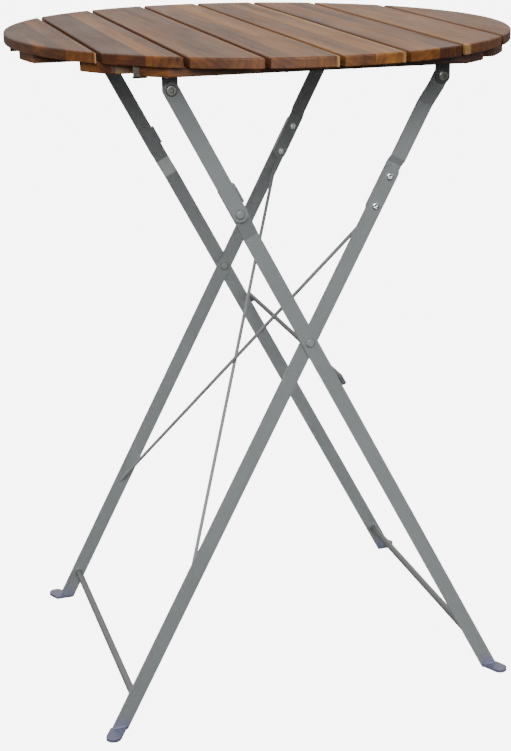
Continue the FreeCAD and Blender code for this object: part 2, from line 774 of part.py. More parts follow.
def table_top():
    """Eight slats on six battens, screwed together from below."""
    spreads = {"outer": 0, "main": worth("screw_spread"), "centre": worth("screw_spread")}
    groups = []
    for kind, spread in spreads.items():
        middle = worth(f"({kind}_batten_near + {kind}_batten_far) / 2")
        points = [point for side in SIDES.values() for point in slat_screw_points(side * middle, spread)]
        groups.append(wood_screws("slat_screws_" + kind, points, worth("batten_thick + screw_bite")))
    bracket_points = []
    for side in SIDES.values():
        for way in (-1, 1):
            for hole in ("flange_screw_near", "flange_screw_far"):
                depth = side * worth(f"bracket_layer - {hole}")
                level = worth(f"{BATTEN_UNDER} - bar_thick")
                bracket_points.append(FreeCAD.Vector(way * worth(HINGE_SPREAD), depth, level))
    catch_point = FreeCAD.Vector(-worth("catch_across"), worth("catch_screw - outer_batten_near"),
                                 worth(f"{SLAT_UNDER} - catch_thick"))
    groups.append(wood_screws("bracket_screws", bracket_points + [catch_point], worth("batten_thick")))
    screws = doc.addObject("Part::Compound", "all_screws")
    screws.Links = groups
    doc.recompute()

    rim = cylinder("top_disc", "top_radius", "slat_thick")
    drive(rim, "Placement.Base.z", SLAT_UNDER)
    slat_rounds = [("top_height", "slat_round"), (SLAT_UNDER, "slat_under_round")]
    for number, centre in enumerate(slat_centres(), 1):
        half = "(slat_pitch - slat_gap) / 2"
        left = f"({number} - 4.5) * slat_pitch - {half}"
        round_board(f"slat_{number}", left, "slat_pitch - slat_gap", "-top_radius", "2 * top_radius",
                    SLAT_UNDER, "slat_thick", rim, slat_rounds, screws)

    ends = cylinder("batten_disc", BATTEN_RADIUS, "batten_thick")
    drive(ends, "Placement.Base.z", BATTEN_UNDER)
    for kind in spreads:
        for place, side in SIDES.items():
            low = f"{kind}_batten_near" if side > 0 else f"-{kind}_batten_far"
            width = f"{kind}_batten_far - {kind}_batten_near"
            round_board(f"batten_{kind}_{place}", "-top_radius", "2 * top_radius", low, width,
                        BATTEN_UNDER, "batten_thick", ends, [(BATTEN_UNDER, "batten_round")], screws)


table_top()
for place, side in SIDES.items():
    outer_leg(place, side)
    inner_leg(place, side)
    inner_extension(place, side)
    link(place, side)
    pivot_rivet(place, side)
    pivot_washer(place, side)
    elbow_rivet(place, side)
    splice_fasteners(place, side)
    for hand, way in (("left", -1), ("right", 1)):
        bracket(hand, way, place, side)
        hinge_pin(hand, way, place, side)
cross_rod("outer_foot_rod", "foot_rod_arm", OUTER, OUTER_LAYER, "foot_rod_radius")
cross_rod("inner_foot_rod", "foot_rod_arm", INNER, "inner_layer", "foot_rod_radius")
fold_stop_rod()
fold_catch()
brace_rod("brace_rod_rear_high", 1, 1)
brace_rod("brace_rod_front_high", -1, -1)
doc.recompute()

NODES = (
    [f"slat_{number}" for number in range(1, 9)]
    + [f"batten_{kind}_{place}" for kind in ("outer", "main", "centre") for place in SIDES]
    + [f"slat_screws_{kind}" for kind in ("outer", "main", "centre")]
    + ["bracket_screws", "fold_catch", "outer_foot_rod", "inner_foot_rod", "fold_stop_rod"]
    + ["brace_rod_rear_high", "brace_rod_front_high"]
    + [f"{kind}_{hand}_{place}"
       for kind in ("bracket", "hinge_pin") for hand in ("left", "right") for place in SIDES]
    + [f"{kind}_{place}" for place in SIDES for kind in (
        "outer_leg", "inner_leg", "inner_extension", "link", "pivot_rivet", "pivot_washer",
        "elbow_rivet_head", "elbow_rivet_tail", "splice_bolts", "splice_nuts")]
)

for item in doc.Objects:
    if "Invalid" in item.State or "Error" in item.State:
        raise RuntimeError(f"{item.Label} failed: {item.State}")

for node in NODES:
    shape = doc.getObjectsByLabel(node)[0].Shape
    if shape.isNull() or not shape.isValid() or not shape.Solids:
        raise RuntimeError(f"{node} has no valid solid")
    shape.exportStep(f"parts/{node}.step")
    print(f"{node}: {len(shape.Solids)} solids, {shape.Volume:.0f} mm3")
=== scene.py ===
import json
import math
import random

import bmesh
import bpy
from mathutils import Matrix, Quaternion, Vector


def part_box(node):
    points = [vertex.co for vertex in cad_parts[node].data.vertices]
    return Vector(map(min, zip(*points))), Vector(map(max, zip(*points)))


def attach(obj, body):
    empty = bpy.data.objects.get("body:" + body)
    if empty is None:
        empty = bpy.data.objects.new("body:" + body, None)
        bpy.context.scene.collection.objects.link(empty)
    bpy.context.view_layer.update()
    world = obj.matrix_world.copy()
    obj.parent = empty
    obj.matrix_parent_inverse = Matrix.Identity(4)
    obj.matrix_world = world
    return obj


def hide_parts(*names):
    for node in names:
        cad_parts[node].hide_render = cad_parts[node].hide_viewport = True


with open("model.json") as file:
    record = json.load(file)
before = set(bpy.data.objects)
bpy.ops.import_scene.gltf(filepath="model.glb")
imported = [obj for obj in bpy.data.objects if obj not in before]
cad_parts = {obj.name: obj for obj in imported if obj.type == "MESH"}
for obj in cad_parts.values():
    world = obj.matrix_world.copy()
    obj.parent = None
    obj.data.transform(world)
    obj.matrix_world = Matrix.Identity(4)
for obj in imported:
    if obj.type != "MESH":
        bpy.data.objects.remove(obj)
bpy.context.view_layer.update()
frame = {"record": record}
bodies = frame["record"]["behaviour"]["bodies"]
slots = {row["node"]: row["material_slot"] for row in frame["record"]["subparts"]}
body_of = {node: body for body, members in bodies.items() for node in members}
scene = bpy.context.scene

SIDES = {"front": -1, "rear": 1}


# ---------------------------------------------------------------- node helper

class Graph:
    """Short way to write the nodes of a material or world. A value is a number, a tuple or an output."""

    def __init__(self, owner):
        self.owner = owner
        owner.use_nodes = True
        self.nodes = owner.node_tree.nodes
        self.links = owner.node_tree.links
        self.nodes.clear()

    def put(self, socket, value):
        if isinstance(value, bpy.types.NodeSocket):
            self.links.new(value, socket)
        else:
            socket.default_value = value

    def node(self, kind, settings=None, **inputs):
        """Adds a node with the given properties, and fills its sockets by their names."""
        node = self.nodes.new("ShaderNode" + kind)
        for name, value in (settings or {}).items():
            setattr(node, name, value)
        for name, value in inputs.items():
            self.put(node.inputs[name.replace("_", " ")], value)
        return node

    def math(self, operation, *values, clamp=False):
        node = self.node("Math", {"operation": operation, "use_clamp": clamp})
        for socket, value in zip(node.inputs, values):
            self.put(socket, value)
        return node.outputs[0]

    def vector(self, operation, *values):
        node = self.node("VectorMath", {"operation": operation})
        for socket, value in zip(node.inputs, values):
            self.put(socket, value)
        return node.outputs[0]

    def noise(self, vector, scale, detail=2.0, roughness=0.5, distortion=0.0):
        return self.node("TexNoise", Vector=vector, Scale=scale, Detail=detail, Roughness=roughness,
                         Distortion=distortion).outputs["Fac"]

    def span(self, value, low, high, out_low=0.0, out_high=1.0, way="SMOOTHSTEP"):
        """Value moved from one range to another, held at the ends."""
        node = self.node("MapRange", {"interpolation_type": way})
        for name, item in (("Value", value), ("From Min", low), ("From Max", high), ("To Min", out_low),
                           ("To Max", out_high)):
            self.put(node.inputs[name], item)
        return node.outputs["Result"]

    def ramp(self, value, stops):
        """Colour looked up from a value. stops are pairs of a place from 0 to 1 and a colour."""
        node = self.node("ValToRGB")
        elements = node.color_ramp.elements
        while len(elements) < len(stops):
            elements.new(0.5)
        for element, (position, colour) in zip(elements, stops):
            element.position = position
            element.color = (*colour, 1)
        self.put(node.inputs[0], value)
        return node.outputs["Color"]

    def mix(self, factor, one, two, blend="MIX"):
        node = self.node("Mix", {"data_type": "RGBA", "blend_type": blend})
        for number, value in ((0, factor), (6, one), (7, two)):
            if isinstance(value, tuple) and len(value) == 3:
                value = (*value, 1)
            self.put(node.inputs[number], value)
        return node.outputs[2]

    def bump(self, height, strength, distance):
        return self.node("Bump", Height=height, Strength=strength, Distance=distance).outputs["Normal"]

    def finish(self, **inputs):
        shader = self.node("BsdfPrincipled")
        for name, value in inputs.items():
            if isinstance(value, tuple) and len(value) == 3:
                value = (*value, 1)
            self.put(shader.inputs[name.replace("_", " ")], value)
        output = self.node("OutputMaterial")
        self.links.new(shader.outputs[0], output.inputs[0])
        return self.owner


def new_material(name):
    """Empty node graph of a new material."""
    return Graph(bpy.data.materials.new(name))


# ---------------------------------------------------------------- wood

# Wood colours, from heartwood to sapwood.
DARK_RED = (0.070, 0.018, 0.004)
RED_BROWN = (0.200, 0.066, 0.010)
BROWN = (0.350, 0.138, 0.019)
GOLDEN = (0.540, 0.255, 0.040)
ORANGE = (0.660, 0.330, 0.075)
CREAM = (0.800, 0.560, 0.240)
WOOD_RAMP = ((0.0, DARK_RED), (0.26, RED_BROWN), (0.50, BROWN), (0.78, GOLDEN), (1.0, CREAM))

# How much each pattern of the figure weighs, and the tone that is taken off to centre their sum.
RING_WEIGHT = 0.12
BAND_WEIGHT = 0.90
FIGURE_WEIGHT = 0.50
FIBRE_WEIGHT = 0.16
TONE_OFFSET = 1.26
# Shift of the figure from one strip of a board to the next, in metres.
STRIP_SHIFT = (0.37, 1.7, 0.053)
# Distances over which dark tone fades in towards a glue line, and painted shade towards a board's left edge,
# in metres, and its strength.
GLUE_FADE = (0.0007, 0.0003)
GLUE_DARK = 0.55
EDGE_SHADE_FADE = (0.0018, 0.0008)
EDGE_SHADE_DARK = 0.45
PORE_DARK = 0.55
# Softness of a pale patch's border, and how far its ends wander.
PATCH_SOFT = 0.001
PATCH_WANDER = 0.016


def wood(name, seed, low, high, tones, lines=(), sap_right=None, patch=None, along="Y"):
    """Oiled board glued up from strips.

    lines are the glue lines as shares of the width, and tones the strips' tones, from dark 0 to light 1.
    sap_right is the width and strength of pale sapwood along the right edge. patch is the start, end and
    strength of a pale stretch along the board, and the share of the width it takes from the left.
    """
    graph = new_material(name)
    dice = random.Random(seed)
    where = graph.node("TexCoord").outputs["Object"]
    if along == "X":
        where = graph.node("Mapping", Vector=where, Rotation=(0, 0, math.radians(90))).outputs[0]
    across, length, _ = graph.node("SeparateXYZ", Vector=where).outputs

    strip = 0.0
    tone = tones[0]
    places = [low + (high - low) * line for line in lines]
    for number, place in enumerate(places):
        step = graph.math("GREATER_THAN", across, place)
        strip = graph.math("ADD", strip, step)
        tone = graph.math("MULTIPLY_ADD", step, tones[number + 1] - tones[number], tone)
    strips = graph.node("CombineXYZ", X=strip, Y=strip, Z=strip).outputs[0]
    shift = graph.vector("MULTIPLY", strips, STRIP_SHIFT)
    away = (dice.uniform(-0.08, 0.08) - (low + high) / 2, dice.uniform(2, 9), dice.uniform(-1.22, -1.16))
    spot = graph.vector("ADD", graph.vector("ADD", where, away), shift)

    def grain(along_grain, across_grain, *settings):
        """Noise stretched along the board. The first two values are its scales per metre."""
        scale = (across_grain, along_grain, across_grain)
        return graph.noise(graph.vector("MULTIPLY", spot, scale), 1.0, *settings)

    rings = graph.node("TexWave", {"wave_type": "RINGS", "rings_direction": "Y", "wave_profile": "SAW"},
                       Vector=graph.vector("MULTIPLY", spot, (1.0, 0.05, 1.0)), Scale=34.0, Distortion=5.5,
                       Detail=3.0, Detail_Scale=0.9, Detail_Roughness=0.55).outputs["Fac"]
    bands = grain(0.8, 30.0, 3.0, 0.5, 0.5)
    figure = grain(2.6, 11.0, 3.0, 0.55, 1.4)
    fibre = grain(9.0, 620.0, 3.0, 0.6)
    pores = graph.span(grain(34.0, 900.0, 1.0, 0.5), 0.66, 0.74)

    value = graph.math("MULTIPLY_ADD", rings, RING_WEIGHT, graph.math("MULTIPLY", bands, BAND_WEIGHT))
    value = graph.math("MULTIPLY_ADD", figure, FIGURE_WEIGHT, value)
    value = graph.math("MULTIPLY_ADD", fibre, FIBRE_WEIGHT, value)
    value = graph.math("ADD", value, graph.math("SUBTRACT", tone, TONE_OFFSET))
    colour = graph.ramp(value, WOOD_RAMP)

    wobble = grain(5.0, 3.0, 2.0, 0.6)
    # Painted shade along each board's left edge.
    edge = graph.span(across, low + EDGE_SHADE_FADE[0], low + EDGE_SHADE_FADE[1], 0.0, EDGE_SHADE_DARK)
    colour = graph.mix(edge, colour, DARK_RED)
    pale = graph.mix(fibre, ORANGE, CREAM)
    patchy = graph.span(grain(2.4, 0.0, 2.0, 0.6), 0.38, 0.60, 0.35, 1.0)
    if sap_right:
        width, strength = sap_right
        inside = graph.math("MULTIPLY_ADD", wobble, width, graph.math("SUBTRACT", high, across))
        mask = graph.math("MULTIPLY", graph.span(inside, 2.1 * width, 0.9 * width), patchy)
        colour = graph.mix(graph.math("MULTIPLY", mask, strength), colour, pale)
    if patch:
        start, end, strength, share = patch
        uneven = graph.math("MULTIPLY_ADD", graph.math("SUBTRACT", wobble, 0.5), PATCH_WANDER, length)
        mask = graph.math("MULTIPLY", graph.span(uneven, start - PATCH_SOFT, start + PATCH_SOFT),
                          graph.span(uneven, end + PATCH_SOFT, end - PATCH_SOFT))
        limit = low + (high - low) * share
        mask = graph.math("MULTIPLY", mask, graph.span(across, limit + PATCH_SOFT, limit - PATCH_SOFT))
        colour = graph.mix(graph.math("MULTIPLY", mask, strength), colour, pale)

    for place in places:
        near = graph.math("ABSOLUTE", graph.math("SUBTRACT", across, place))
        colour = graph.mix(graph.span(near, *GLUE_FADE, 0.0, GLUE_DARK), colour, DARK_RED)
    colour = graph.mix(graph.math("MULTIPLY", pores, PORE_DARK), colour, DARK_RED)

    blotch = graph.noise(where, 7.0, 3.0, 0.6)
    worn = grain(6.0, 40.0, 2.0, 0.6)
    rough = graph.math("MULTIPLY_ADD", blotch, 0.16, graph.math("MULTIPLY_ADD", worn, 0.18, 0.34))
    rough = graph.math("MULTIPLY_ADD", pores, 0.15, rough, clamp=True)
    relief = graph.math("MULTIPLY_ADD", fibre, 0.5, graph.math("MULTIPLY", rings, 0.35))
    relief = graph.math("SUBTRACT", relief, pores)
    normal = graph.bump(relief, 0.20, 0.0005)
    return graph.finish(Base_Color=colour, Roughness=rough, Normal=normal, Specular_IOR_Level=0.40)


# ---------------------------------------------------------------- metal

def front_centres():
    """Middle of the pivot, the elbow and the two hinges at the front."""
    pins = {"pivot": "pivot_rivet_front", "elbow": "elbow_rivet_head_front",
            "left": "hinge_pin_left_front", "right": "hinge_pin_right_front"}
    middles = {}
    for place, node in pins.items():
        low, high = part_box(node)
        middles[place] = (Vector(low) + Vector(high)) / 2
    return middles


DUST_GREY = (0.42, 0.42, 0.40)
SCUFF_GREY = (0.36, 0.35, 0.34)
RUBBED_GREY = (0.075, 0.080, 0.080)
FOOT_BLUE = (0.215, 0.225, 0.385)
TAB_BLUE = (0.118, 0.124, 0.210)
# Heights over which painted shade of the top sets in under it, and over which a foot and its tab turn
# bluish.
TOP_SHADE_RISE = (0.93, 1.07)
FOOT_FALL = (0.045, 0.012)
TAB_FALL = (0.0065, 0.0050)
SCUFF_FALL = (0.009, 0.001)
# How far a rubbed ring fades out round a joint, and how far its edge wanders.
RING_FADE = 0.0022
RING_WANDER = 0.0016


def shaded(colour, share):
    return tuple(share * part for part in colour)


def paint(name, colour=(0.288, 0.311, 0.314), rubbed=()):
    """Satin grey powder coat with orange peel, dust, painted shade under the top and bluish, scuffed feet.

    rubbed are the joints that it is rubbed dark round: the middle and radius of each.
    """
    graph = new_material(name)
    where = graph.node("TexCoord").outputs["Object"]
    across, _, height = graph.node("SeparateXYZ", Vector=where).outputs
    cloud = graph.noise(where, 9.0, 3.0, 0.55)
    grain = graph.noise(where, 420.0, 2.0, 0.6)
    peel = graph.noise(where, 1300.0, 1.0, 0.5)
    dust = graph.span(graph.noise(where, 160.0, 3.0, 0.7), 0.60, 0.72)

    shade = graph.mix(cloud, shaded(colour, 0.90), shaded(colour, 1.10))
    shade = graph.mix(graph.math("MULTIPLY", grain, 0.22), shade, shaded(colour, 0.72))
    shade = graph.mix(graph.math("MULTIPLY", dust, 0.10), shade, DUST_GREY)
    # Painted shade: the paint darkens towards the top, standing in for the shadow the top casts on the
    # frame.
    top_shade = graph.span(graph.math("MULTIPLY_ADD", cloud, 0.05, height), *TOP_SHADE_RISE, 0.0, 0.55)
    shade = graph.mix(top_shade, shade, shaded(colour, 0.30))
    low = graph.math("MULTIPLY_ADD", cloud, 0.02, height)
    shade = graph.mix(graph.span(low, *FOOT_FALL, 0.0, 0.75), shade, FOOT_BLUE)
    shade = graph.mix(graph.span(height, *TAB_FALL, 0.0, 0.80), shade, TAB_BLUE)
    scuff = graph.noise(graph.vector("MULTIPLY", where, (260.0, 60.0, 260.0)), 1.0, 3.0, 0.65)
    scuff = graph.math("MULTIPLY", graph.span(scuff, 0.60, 0.68), graph.span(height, *SCUFF_FALL))
    shade = graph.mix(scuff, shade, SCUFF_GREY)

    ring = 0.0
    for centre, reach in rubbed:
        side = graph.math("SUBTRACT", across, centre.x)
        rise = graph.math("SUBTRACT", height, centre.z)
        square = graph.math("MULTIPLY_ADD", side, side, graph.math("MULTIPLY", rise, rise))
        far = graph.math("POWER", square, 0.5)
        far = graph.math("MULTIPLY_ADD", graph.noise(where, 330.0, 2.0), RING_WANDER, far)
        ring = graph.math("MAXIMUM", ring, graph.span(far, reach + RING_FADE, reach))
    if rubbed:
        shade = graph.mix(graph.math("MULTIPLY", ring, 0.32), shade, RUBBED_GREY)
    rough = graph.math("MULTIPLY_ADD", cloud, 0.14, graph.math("MULTIPLY_ADD", grain, 0.14, 0.27))
    rough = graph.math("MULTIPLY_ADD", scuff, 0.2, rough, clamp=True)
    relief = graph.math("MULTIPLY_ADD", peel, 0.6, graph.math("MULTIPLY", grain, 0.5))
    normal = graph.bump(relief, 0.22, 0.0003)
    return graph.finish(Base_Color=shade, Roughness=rough, Normal=normal, Specular_IOR_Level=0.55)


def plated(name, colour, rough_low, stain):
    """Bare or dark metal finish with clouds of a second colour and fine scratches; the fold catch's
    near-black is partly painted shade.
    """
    graph = new_material(name)
    where = graph.node("TexCoord").outputs["Object"]
    cloud = graph.noise(where, 130.0, 3.0, 0.6)
    scratch = graph.noise(graph.vector("MULTIPLY", where, (2600.0, 400.0, 500.0)), 1.0, 2.0, 0.6)
    shade = graph.mix(graph.span(cloud, 0.35, 0.75), colour, stain)
    rough = graph.math("MULTIPLY_ADD", cloud, 0.18, graph.math("MULTIPLY_ADD", scratch, 0.14, rough_low))
    normal = graph.bump(scratch, 0.15, 0.0002)
    return graph.finish(Base_Color=shade, Roughness=rough, Normal=normal, Metallic=1.0)


centres = front_centres()
PAINT = paint("powder_coat")
LEG_PAINT = paint("powder_coat_legs", rubbed=[(centres["pivot"], 0.0082)])
LINK_PAINT = paint("powder_coat_links", rubbed=[(centres["elbow"], 0.0080), (centres["left"], 0.0092)])
EXTENSION_PAINT = paint("powder_coat_extension", rubbed=[(centres["right"], 0.0098)])
# Rods: the legs' powder coat, painted darker as shade.
SHADED_ROD_PAINT = paint("powder_coat_rods_painted_shade", colour=(0.128, 0.143, 0.150))
BRACE_PAINT = paint("powder_coat_braces", colour=(0.330, 0.352, 0.360))
# Brackets: the frame's own powder coat, painted dark grey as shade of the top they sit under.
SHADED_BRACKET_PAINT = paint("powder_coat_bracket", colour=(0.100, 0.108, 0.110),
                   rubbed=[(centres["left"], 0.0098), (centres["right"], 0.0098)])
ZINC = plated("bright_zinc", (0.86, 0.91, 0.95), 0.10, (0.72, 0.75, 0.75))
# The fold catch: dark metal, its near-black partly painted shade under the batten.
CATCH_DARK_AND_SHADE = plated("catch_dark_metal_and_painted_shade", (0.060, 0.060, 0.056), 0.30, (0.110, 0.095, 0.070))
HINGE = plated("dull_zinc", (0.27, 0.27, 0.255), 0.18, (0.14, 0.135, 0.12))

SLAT_SEED = 40
BATTEN_SEED = 70
# Each board's strips from left to right, as wood() takes them.
SLATS = {
    1: dict(tones=(0.46, 0.54), lines=(0.62,), sap_right=(0.0016, 0.80)),
    2: dict(tones=(0.36, 0.60), lines=(0.52,)),
    3: dict(tones=(0.62, 0.54, 0.57), lines=(0.52, 0.80)),
    4: dict(tones=(0.60, 0.66), lines=(0.50,), sap_right=(0.0035, 0.70)),
    5: dict(tones=(0.64, 0.74), lines=(0.48,), sap_right=(0.0060, 0.80)),
    6: dict(tones=(0.68, 0.52), lines=(0.55,)),
    7: dict(tones=(0.66, 0.62), lines=(0.50,), patch=(-0.40, -0.344, 0.45, 0.14)),
    8: dict(tones=(0.65, 0.67), lines=(0.50,)),
}
BATTENS = {
    "outer_front": dict(tones=(0.52,)),
    "outer_rear": dict(tones=(0.50,)),
    "main_front": dict(tones=(0.52,), patch=(-0.294, -0.268, 0.50, 1.0)),
    "main_rear": dict(tones=(0.46, 0.54), lines=(0.40,)),
    "centre_front": dict(tones=(0.44, 0.58), lines=(0.50,)),
    "centre_rear": dict(tones=(0.50, 0.42), lines=(0.50,)),
}


def node_material(node, material):
    """Gives a CAD node a material, which changes none of its shape."""
    item = bpy.data.objects[node]
    if not item.material_slots:
        item.data.materials.append(material)
    for slot in item.material_slots:
        slot.material = material


def finish_wood():
    for number, look in SLATS.items():
        node = f"slat_{number}"
        low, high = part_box(node)
        node_material(node, wood(f"oiled_{node}", SLAT_SEED + number, low[0], high[0], **look))
    for number, (place, look) in enumerate(BATTENS.items()):
        node = f"batten_{place}"
        low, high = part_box(node)
        # Across a board that lies along X, wood() counts towards -y.
        board = wood(f"oiled_{node}", BATTEN_SEED + number, -high[1], -low[1], along="X", **look)
        node_material(node, board)


def steel_material(node):
    slot = slots[node]
    if slot == "zinc_fastener":
        return ZINC
    if node == "fold_catch":
        return CATCH_DARK_AND_SHADE
    if slot == "hinge_steel":
        return HINGE
    if node.startswith("bracket_"):
        return SHADED_BRACKET_PAINT
    if node.startswith(("outer_leg", "inner_leg")):
        return LEG_PAINT
    if node.startswith("link"):
        return LINK_PAINT
    if node.startswith("inner_extension"):
        return EXTENSION_PAINT
    if node.startswith("brace_rod"):
        return BRACE_PAINT
    if "rod" in node:
        return SHADED_ROD_PAINT
    return PAINT


# ---------------------------------------------------------------- steel with eased edges

# Points closer than this are one point.
MERGE_REACH = 1e-6
# Faces that lie flatter than FLAT_ANGLE are one face, and edges sharper than CORNER_ANGLE are rolled.
FLAT_ANGLE = math.radians(1)
CORNER_ANGLE = math.radians(35)
ROLLED_EDGE = 0.0006
# Two broad flats that meet in a bend keep a crisp line between them, and small faces of a curve blend.
# BROAD_FACE is in square metres.
BROAD_FACE = 0.00006
BEND_ANGLE = math.radians(6)
ROUND_ANGLE = math.radians(50)
# A bend's crisp line goes on over the rolled corners at its ends.
ROLL_STEPS = 2
FAINT_ANGLE = math.radians(2)


def eased_copy(node):
    """Copy of a steel node with its sharp corners rolled over, which stands for the node."""
    source = bpy.data.objects[node]
    build = bmesh.new()
    build.from_mesh(source.data)
    bmesh.ops.remove_doubles(build, verts=build.verts, dist=MERGE_REACH)
    bmesh.ops.dissolve_limit(build, angle_limit=FLAT_ANGLE, verts=build.verts, edges=build.edges)
    sharp = [edge for edge in build.edges
             if len(edge.link_faces) == 2 and edge.calc_face_angle(0) > CORNER_ANGLE]
    bmesh.ops.bevel(build, geom=sharp, offset=ROLLED_EDGE, offset_type="OFFSET", segments=ROLL_STEPS,
                    profile=0.5, affect="EDGES", clamp_overlap=True)
    for face in build.faces:
        face.smooth = True
    for edge in build.edges:
        if len(edge.link_faces) == 2:
            fold = edge.calc_face_angle(0)
            broad = min(face.calc_area() for face in edge.link_faces) > BROAD_FACE
            edge.smooth = fold < (BEND_ANGLE if broad else ROUND_ANGLE)
    for _ in range(ROLL_STEPS):
        ends = {vert for edge in build.edges if not edge.smooth for vert in edge.verts}
        for edge in build.edges:
            across_roll = edge.calc_length() < 2 * ROLLED_EDGE and not ends.isdisjoint(edge.verts)
            if across_roll and len(edge.link_faces) == 2 and edge.calc_face_angle(0) > FAINT_ANGLE:
                edge.smooth = False
    mesh = bpy.data.meshes.new(node + "_rolled")
    build.to_mesh(mesh)
    build.free()
    piece = bpy.data.objects.new(node + "_rolled", mesh)
    scene.collection.objects.link(piece)
    mesh.materials.append(steel_material(node))
    crisp = piece.modifiers.new("flat faces stay flat", "WEIGHTED_NORMAL")
    crisp.keep_sharp = True
    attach(piece, body_of[node])
    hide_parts(node)


FLAT_STEEL = ("outer_leg", "inner_leg", "inner_extension", "link", "bracket_left", "bracket_right")


# ---------------------------------------------------------------- screws with driver recesses

# The wood screws are all driven upwards.
DRIVEN = Vector((0, 0, 1))
# A cross recess in a head, as the half length and half width of its arms and its depth.
CROSS_REACH = 0.0021
CROSS_WIDTH = 0.0005
CROSS_DEPTH = 0.0016
# It narrows to CROSS_SHRINK of its size at the bottom. Its cutter stands out of the head by a share of the
# depth, and is wider there.
CROSS_SHRINK = 0.55
CROSS_STAND_OUT = 0.4
CROSS_FLARE = 1.15
# Faces that meet flatter than this are shaded smooth.
SMOOTH_ANGLE = math.radians(32)


def islands(build):
    """Separate solids of a mesh, each as its list of vertices, in the order of their first vertices."""
    seen = set()
    groups = []
    for first in build.verts:
        if first in seen:
            continue
        seen.add(first)
        group = [first]
        for vert in group:
            for edge in vert.link_edges:
                other = edge.other_vert(vert)
                if other not in seen:
                    seen.add(other)
                    group.append(other)
        groups.append(group)
    return groups


def cross_outline():
    """The twelve corners of a cross, counterclockwise."""
    quarter = [(CROSS_REACH, -CROSS_WIDTH), (CROSS_REACH, CROSS_WIDTH), (CROSS_WIDTH, CROSS_WIDTH)]
    corners = []
    for _ in range(4):
        corners += quarter
        quarter = [(-y, x) for x, y in quarter]
    return corners


def cross_cutter(build, top, turn):
    """Tapered cross-shaped plug that cuts a driver recess into a head from its top."""
    side = DRIVEN.orthogonal().normalized()
    side.rotate(Quaternion(DRIVEN, turn))
    other = DRIVEN.cross(side)
    rings = []
    for level, scale in ((-CROSS_STAND_OUT * CROSS_DEPTH, CROSS_FLARE), (CROSS_DEPTH, CROSS_SHRINK)):
        rings.append([build.verts.new(top + DRIVEN * level + side * (u * scale) + other * (v * scale))
                      for u, v in cross_outline()])
    outer, inner = rings
    build.faces.new(outer[::-1])
    build.faces.new(inner)
    for k in range(len(outer)):
        after = (k + 1) % len(outer)
        build.faces.new((outer[k], outer[after], inner[after], inner[k]))


def head_tops(build):
    """Middle of the outer face of each screw's head."""
    tops = []
    for group in islands(build):
        level = min(vert.co.dot(DRIVEN) for vert in group)
        middle = sum((vert.co for vert in group), Vector()) / len(group)
        tops.append(middle + DRIVEN * (level - middle.dot(DRIVEN)))
    return tops


def recessed_copy(node):
    """Copy of a group of screws whose heads have cross recesses, which stands for the node."""
    source = bpy.data.objects[node]
    dice = random.Random(node)
    build = bmesh.new()
    build.from_mesh(source.data)
    bmesh.ops.remove_doubles(build, verts=build.verts, dist=MERGE_REACH)
    cutters = bmesh.new()
    for top in head_tops(build):
        cross_cutter(cutters, top, dice.uniform(0, math.pi / 2))
    meshes = []
    for name, parts in ((node + "_solid", build), (node + "_cutter", cutters)):
        mesh = bpy.data.meshes.new(name)
        parts.to_mesh(mesh)
        parts.free()
        meshes.append(mesh)
    piece = bpy.data.objects.new(node + "_recessed", meshes[0])
    cutter = bpy.data.objects.new(node + "_cutter", meshes[1])
    for item in (piece, cutter):
        scene.collection.objects.link(item)
    cut = piece.modifiers.new("recess", "BOOLEAN")
    cut.object = cutter
    cut.solver = "MANIFOLD"
    result = bpy.data.meshes.new_from_object(piece.evaluated_get(bpy.context.evaluated_depsgraph_get()))
    piece.modifiers.remove(cut)
    bpy.data.objects.remove(cutter)
    piece.data = result
    result.materials.clear()
    result.materials.append(steel_material(node))
    result.shade_smooth()
    result.set_sharp_from_angle(angle=SMOOTH_ANGLE)
    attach(piece, body_of[node])
    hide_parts(node)


# ---------------------------------------------------------------- weld beads

BEAD_SIZE = 0.0016
BEAD_SINK = 0.0003
BEAD_TURNS = 48
BEAD_STEPS = 6
# Ripples as shares of the bead's size: the regular ones and the random part.
BEAD_RIPPLE = 0.22
BEAD_UNEVEN = 0.12


def weld_bead(name, node, end):
    """Rippled fillet of weld round the end of a rod. end is -1 at the front and 1 at the rear."""
    low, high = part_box(node)
    middle = (Vector(low) + Vector(high)) / 2
    radius = min(high[0] - low[0], high[2] - low[2]) / 2
    level = high[1]
    dice = random.Random(name)
    build = bmesh.new()
    rows = []
    for turn in range(BEAD_TURNS):
        angle = 2 * math.pi * turn / BEAD_TURNS
        swell = 1 + BEAD_RIPPLE * math.cos(math.pi * turn) + dice.uniform(-BEAD_UNEVEN, BEAD_UNEVEN)
        row = []
        for step in range(BEAD_STEPS + 1):
            slope = math.pi / 2 * step / BEAD_STEPS
            out = radius - BEAD_SINK + BEAD_SIZE * swell * math.cos(slope)
            back = BEAD_SIZE * swell * math.sin(slope)
            row.append(build.verts.new((middle.x + out * math.cos(angle), end * (level - back),
                                        middle.z + out * math.sin(angle))))
        rows.append(row)
    for row, after in zip(rows, rows[1:] + rows[:1]):
        for step in range(BEAD_STEPS):
            build.faces.new((row[step], row[step + 1], after[step + 1], after[step]))
    bmesh.ops.recalc_face_normals(build, faces=build.faces)
    mesh = bpy.data.meshes.new(name)
    build.to_mesh(mesh)
    build.free()
    mesh.shade_smooth()
    mesh.materials.append(PAINT)
    piece = bpy.data.objects.new(name, mesh)
    scene.collection.objects.link(piece)
    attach(piece, body_of[node])


# ---------------------------------------------------------------- studio

